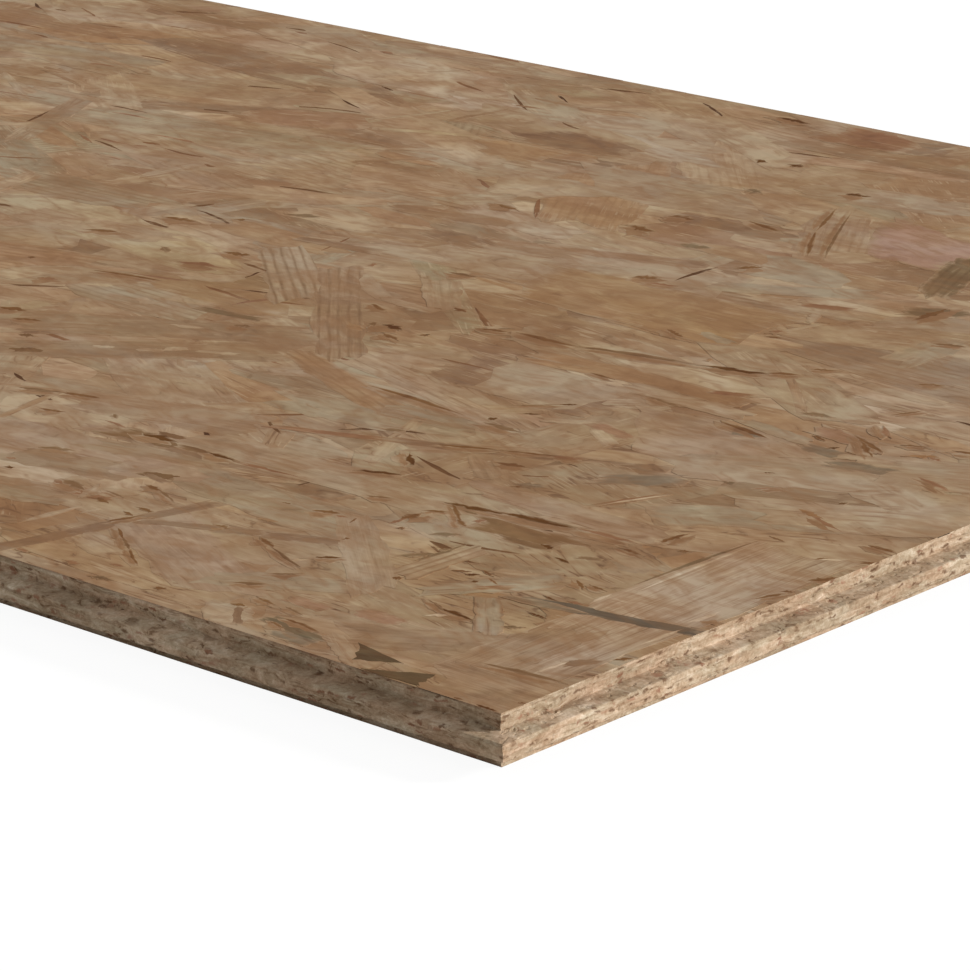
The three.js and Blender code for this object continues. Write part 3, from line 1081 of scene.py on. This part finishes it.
            (-5, 59, -1, 64, 1.8), (-6, 144, -2, 147, 2), (-5, 158, 0, 169, 2.6), (-3, 184, 1, 188, 2.4),
            (-18, 177, -15, 181, 1.6), (-13, 201, -1, 200, 2), (-45, 186, -37, 185, 1.1), (-3, 10, 0, 12, 2),
        ],
        "dark": [
            (-430, 664, -410, 663, 4), (-385, 593, -379, 593, 5), (-368, 597, -362, 597, 5),
            (-316, 571, -305, 574, 4), (-328, 291, -318, 288, 4.5), (-195, 328, -168, 336, 3.2),
            (-91, 277, -89, 280, 2.5), (-211, 223, -208, 226, 3.5), (-206, 237, -200, 240, 1.4),
            (-202, 255, -197, 258, 2), (-205, 174, -193.5, 164, 2.4), (-206, 146, -188, 154, 2),
            (-305, 66, -302, 69, 3), (-297, 127, -280, 127, 4), (-262, 127, -245, 126, 2.4),
            (-148, 69, -140, 74, 2), (-12, 1, -2, 0.8, 1.2), (-156, 141, -128, 145, 2.4),
            (-136, 144.5, -98, 150, 3.1), (-99, 129, -92, 127, 3), (-87, 122, -79, 120, 1.8),
            (-97, 89, -94, 91, 2), (-91, 84, -89, 87, 2), (-55, 74.5, -47, 73.5, 1.4),
            (-83, 58.3, -64, 57, 2.0), (-63, 90, -57, 89, 0.8), (-49, 229, -47, 232, 3),
            (-92, 240, -87, 242, 2),
        ],
        "brown": [
            (-294, 548, -254, 478, 1.2), (-362, 364, -348, 366, 3), (-145, 410, -132, 414, 2.5),
            (-335, 289, -330, 286, 4), (-248, 317, -195, 328, 3), (-376, 250, -366, 253, 3),
            (-430, 185, -424, 189, 5), (-184, 284, -167, 281, 1.8), (-210, 219, -190, 219, 3),
            (-217, 240, -200, 256, 1), (-375, 137, -357, 143, 2), (-323, 137, -318, 133, 3),
            (-313, 91, -300, 96, 2.5), (-241, 84, -228, 78, 1.2), (-214, 40, -202, 32, 1.1),
            (-167, 66, -144, 57, 1.1), (-182, 128, -172, 132, 2), (-258, 72, -246, 70, 1.2),
            (-279, 70, -262, 67.5, 3.4), (-152, 31, -141, 38, 2), (-148, 46, -140, 53, 2),
            (-120, 26, -111, 24, 1.2), (-38, 29, -2, 33, 2.5), (-145, 138, -137, 138, 2.5),
            (-89, 62, -77, 57, 1.0),
        ],
        "rust": [
            (-292, 403, -274, 409, 2.5), (-460, 303, -440, 308, 4), (-396, 353, -393, 350, 3),
            (-204, 382, -200, 385, 3), (-488, 247, -479, 250, 4), (-93, 312, -81, 301, 2.5),
            (-58, 293, -50, 291, 3), (-162, 205, -150, 210, 2.5), (-314, 74, -309, 76, 3),
            (-175, 105, -170, 106, 1.5), (-197, 18, -191, 19, 1.6), (-234, 8, -227, 8, 2.6),
            (-212, 10, -204, 11, 3), (-100, 150, -75, 150, 2.6), (-134, 132, -130, 135, 3),
            (-154, 111, -153.5, 118, 2), (-87, 81, -76, 92, 1.0), (-53, 91, -47, 92, 2),
            (-48, 213, -29, 206, 1.8), (-45, 272, -26, 265, 2.6), (-83, 222, -74, 231, 1.2),
            (-114, 173, -103, 199, 1.2),
        ],
        "olive": [
            (-356, 551, -345, 547, 5), (-317, 459, -304, 464, 5), (-482, 388, -466, 393, 4),
            (-483, 315, -476, 311, 4), (-126, 305, -114, 308, 3), (-233, 188, -224, 193, 2.5),
            (-193, 5, -184, 7, 2), (-120, 88, -118, 113, 1.5), (-135, 112, -127, 118, 3),
            (-127, 88, -120, 97, 3), (-122, 101, -119, 104, 3), (-53, 58, -47, 63, 2.6),
            # the long olive mark from (-47, 118) to (-44.5, 181) is painted shade: the shadow line along the
            # left edge of the cream flake
            (-47, 118, -44.5, 181, 1.6), (-94, 222, -91, 224, 3),
        ],
        "golden": [
            (-198, 335, -196, 337, 4), (-340, 283, -330, 277, 6), (-194, 85, -185, 87, 2),
            (-7, 105, -1, 108, 4),
        ],
        "grey": [
            (-74, 80.5, -42, 85.5, 4.2), (-150, 172, -140, 176, 4),
        ],
        "amber": [
            (-56, 216, -43, 213, 2.4), (-64, 288, -55, 295, 2.4),
        ],
        "pale": [
            (-207, 414, -200, 402, 3.5), (-297, 313, -286, 318, 3), (-431, 249, -423, 254, 6),
            (-396, 233, -378, 240, 3), (-258, 60, -264, 76, 2.5), (-254, 26, -250, 56, 2.8),
            (-245, 48, -243, 57, 1.5),
        ],
        "lit": [
            (-80, 50, -73, 56, 1.6), (-42, 112, -43, 179, 1.6), (-46.5, 94, -46.5, 107, 1.4),
            (-16.5, 33, -15, 49, 1.3), (-7.5, 74, -7, 95, 1.6), (-10, 99, -8, 118, 1.6),
            (-17, 178, -8, 184, 1.4), (-112, 173, -100, 199, 1.4),
        ],
        "tan": [
            (-85, 14, -66, 2, 1.2),
        ],
    },
}


def placedField(rows, blunt, taper, soft, seed):
    draw = np.random.default_rng(seed)
    ends = np.array([r[:4] for r in rows], float)
    delta = ends[:, 2:] - ends[:, :2]
    count = len(rows)
    return {
        "place": corner + (ends[:, 2:] + ends[:, :2]) / 2,
        "angle": np.arctan2(delta[:, 1], delta[:, 0]),
        "length": np.linalg.norm(delta, axis=1),
        "width": np.array([r[4] for r in rows], float),
        "tone": np.array([linear(*tones[r[5]]) for r in rows]),
        "ring": np.array([r[6] if len(r) > 6 else 0 for r in rows], float),
        "bow": draw.normal(0, 0.012, count),
        "blunt": np.full(count, blunt),
        "taper": draw.uniform(-0.15, 0.15, count),
        "point": draw.uniform(*taper, count),
        "slant": np.clip(draw.normal(0, 0.4, (count, 2)), -0.8, 0.8),
        "band": 0.22,
        "soft": np.array([placed["softReach"] if r[5] in placed["softTones"] else soft for r in rows]),
        "fibrous": np.array([placed["fibrousTones"].get(r[5], placed["fibrousElse"]) for r in rows]),
        "ragged": np.full(count, 0.04),
    }


markRows = [(*r, tone) for tone, group in placed["marks"].items() for r in group]
kindRows = {**placed, "marks": markRows}
kinds = {kind: placedField(kindRows[kind], *settings) for kind, settings in placed["kinds"].items()}
flakes, ringed, marks, wedges = kinds.values()
wedges["taper"] = np.full(len(placed["wedges"]), placed["wedgeTaper"])
wedges["ring"] = np.zeros(len(placed["wedges"]))
wedges["slant"] = np.array([(0, r[6]) for r in placed["wedges"]], float)
longMark = marks["length"] > placed["stainFrom"]
marks["width"] = marks["width"] * np.where(longMark, *placed["markWidening"]) + placed["markExtra"]
marks["band"] = placed["markBand"]
marks["ragged"] = np.where(marks["length"] > placed["veryLong"], *placed["markRagged"])
# a soft brown stain lies beside each longer dark mark, partly the wood's own stain and partly painted shadow
stainShadowed = longMark & np.array([r[5] in ("umber", "dark", "brown", "rust") for r in markRows])
stainShadows = {k: v[stainShadowed] if isinstance(v, np.ndarray) else v for k, v in marks.items()}
stainShadows["width"] = stainShadows["width"] * placed["stainWiden"] + placed["stainReach"]
# painted shadow: each stain is shifted to one side of its mark, always towards lower y, away from the key
# lamp
aside = np.stack([-np.sin(stainShadows["angle"]), np.cos(stainShadows["angle"])], 1)
aside = aside * np.sign(np.cos(stainShadows["angle"]))[:, None]
stainShadows["place"] = stainShadows["place"] - aside * stainShadows["width"][:, None] * placed["shadowAside"]
stainShadows["tone"] = np.tile(linear(*tones["stain"]), (len(stainShadows["angle"]), 1))
stainShadows["band"] = placed["stainBand"]
stainShadows["soft"] = np.full(len(stainShadows["angle"]), placed["stainSoft"])
layAtHeights([flakes, ringed, stainShadows, wedges, marks], 0.05, 0.01)
placedGroups = [(flakes, 8, 3), (ringed, 8, 3), (stainShadows, 3, 1), (wedges, 4, 3), (marks, 6, 1)]
strandPiece("placed_strands", placedGroups, 77)

# Camera: where it stands from the tongued corner of the upper face, and how it is turned
view = {
    "stand": (897.7, -973.1, 508.9),
    "turn": 42.866,
    "down": 18.170,
    "roll": -0.762,
    "focalPixels": 4568.8,
    "framePixels": 971,
    "lowered": 0.35,
    "farthest": 100,
}
turn, down, roll = (math.radians(view[k]) for k in ("turn", "down", "roll"))
right = np.array([math.cos(turn), math.sin(turn), 0])
ahead = np.array([-math.sin(turn), math.cos(turn), 0])
forward = ahead * math.cos(down) - np.array([0, 0, math.sin(down)])
upward = ahead * math.sin(down) + np.array([0, 0, math.cos(down)])
leaning = right * math.cos(roll) + upward * math.sin(roll)
rising = upward * math.cos(roll) - right * math.sin(roll)
stand = (np.array([*corner, thickness]) + view["stand"]) * mm
camera = bpy.data.objects.new("camera", bpy.data.cameras.new("camera"))
bpy.context.collection.objects.link(camera)
placement = np.eye(4)
placement[:3] = np.stack([leaning, rising, -forward, stand], 1)
camera.matrix_world = Matrix(placement.tolist())
camera.data.lens = camera.data.sensor_width * view["focalPixels"] / view["framePixels"]
camera.data.clip_end = view["farthest"]
camera.data.shift_y = view["lowered"] / view["framePixels"]
bpy.context.scene.camera = camera

# Light: one soft key lamp low on the right, a pale room round it, and a floor that looks white
light = {
    "keyStrength": 4.3,
    "keyHeight": 20.5,
    "keyTurn": 42,
    "keySpread": 8,
    "room": 0.47,
    "floorSize": 40,
    "floorColour": (0.75, 0.74, 0.72),
    "floorRoughness": 0.9,
    "floorGlow": 1.06,
    "glowShare": 0.88,
}
key = bpy.data.objects.new("key", bpy.data.lights.new("key", "SUN"))
key.data.energy = light["keyStrength"]
key.data.angle = math.radians(light["keySpread"])
bpy.context.collection.objects.link(key)
key.rotation_euler = (0, math.radians(90 - light["keyHeight"]), math.radians(light["keyTurn"]))

world = bpy.data.worlds.new("room")
bpy.context.scene.world = world
world.use_nodes = True
air = world.node_tree
seen = air.nodes.new("ShaderNodeLightPath").outputs["Is Camera Ray"]
strength = air.nodes.new("ShaderNodeMapRange")
strength.inputs["To Min"].default_value = light["room"]
strength.inputs["To Max"].default_value = 1.0
air.links.new(seen, strength.inputs["Value"])
air.links.new(strength.outputs[0], air.nodes["Background"].inputs["Strength"])
air.nodes["Background"].inputs["Color"].default_value = (1, 1, 1, 1)

bpy.ops.mesh.primitive_plane_add(size=light["floorSize"])
floor = bpy.context.object
floor.name = "floor"
paint = Nodes("pale floor")
paint.fill(paint.shader, light["floorColour"], Roughness=light["floorRoughness"])
glow = paint.fill(paint.add("ShaderNodeEmission"), Strength=light["floorGlow"])
seen = paint.product(paint.add("ShaderNodeLightPath").outputs["Is Camera Ray"], light["glowShare"])
blend = paint.fill(paint.add("ShaderNodeMixShader"), seen, paint.shader.outputs[0], glow)
paint.put(paint.tree.nodes["Material Output"].inputs["Surface"], blend)
floor.data.materials.append(paint.material)
bpy.context.scene.view_settings.view_transform = "Standard"
print("camera, lamps and floor made")
